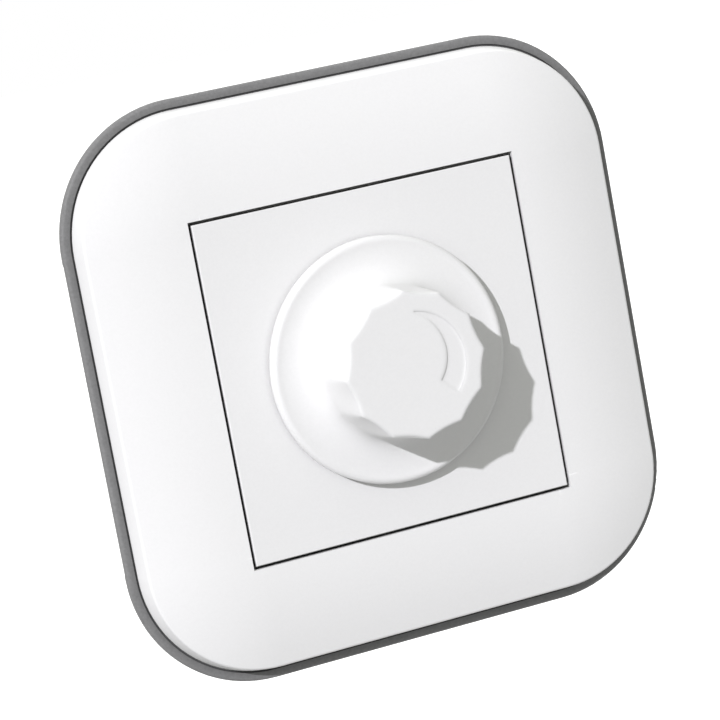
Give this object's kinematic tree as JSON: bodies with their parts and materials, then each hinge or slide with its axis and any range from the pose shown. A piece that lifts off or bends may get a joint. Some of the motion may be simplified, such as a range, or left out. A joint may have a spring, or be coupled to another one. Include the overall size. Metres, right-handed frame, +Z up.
{
  "type": "dimmer switch",
  "caption": "Flush wall dimmer: square plate in a domed frame, a scalloped bell knob that turns to dim and pushes to switch, and a strap with a case of electronics behind.",
  "frame": {"origin": "on the knob's axis in the plane of the wall, midway between the box screws", "axes": "+Z up, +Y into the wall, the front faces -Y, +X to the right as seen from the front"},
  "size_m": [0.0848, 0.0466, 0.0848],
  "materials": {
    "white_plastic": "gloss",
    "grey_plastic": "matte",
    "dark_plastic": "satin",
    "black_plastic": "satin",
    "pale_plastic": "satin",
    "terminal_plastic": "satin",
    "board": "satin",
    "steel": "zinc plated",
    "spring_steel": "bright",
    "aluminium": "satin",
    "brass": "satin",
    "nickel": "polished",
    "ferrite": "matte",
    "copper": "gloss",
    "film_case": "satin",
    "lacquer": "gloss",
    "fuse_glass": "polished"
  },
  "bodies": {
    "housing": {"cover_frame": "white_plastic", "base_frame": "grey_plastic", "cover_plate": "white_plastic", "bush": "brass", "bush_nuts": "brass", "bush_washer": "steel", "pot_case": "black_plastic", "track_board": "board", "switch_case": "black_plastic", "switch_spring": "spring_steel", "support_strap": "steel", "heat_sink": "aluminium", "rear_case": "dark_plastic", "case_screws": "steel", "circuit_board": "board", "triac": "black_plastic", "triac_screw": "steel", "choke_core": "ferrite", "choke_winding": "copper", "film_capacitor": "film_case", "timing_capacitor": "lacquer", "diac": "lacquer", "resistors": "lacquer", "fuse_tube": "fuse_glass", "fuse_caps": "nickel", "fuse_clips": "brass", "terminal_block": "terminal_plastic", "terminal_cages": "brass", "terminal_screws": "steel"},
    "rotor": {"rotor": "pale_plastic", "wiper": "brass"},
    "knob": {"knob": "white_plastic", "knob_spring": "spring_steel", "shaft": "aluminium", "shaft_clip": "spring_steel"},
    "plunger": {"switch_plunger": "pale_plastic"}
  },
  "joints": [
    {"name": "knob_turn", "type": "hinge", "parent": "housing", "child": "rotor", "pos_m": [0, 0, 0], "axis": [0, 1, 0], "range_deg": [-150, 150]},
    {"name": "knob_push", "type": "slide", "parent": "rotor", "child": "knob", "axis": [0, 1, 0], "range_m": [0, 0.0006], "stiffness_N_per_m": 1500, "springref_m": -0.002},
    {"name": "switch_push", "type": "slide", "parent": "housing", "child": "plunger", "axis": [0, 1, 0], "range_m": [0, 0.0006], "deforming": ["switch_spring"]}
  ],
  "couplings": [
    {"joint": "switch_push", "follows": "knob_push", "ratio": 1}
  ]
}
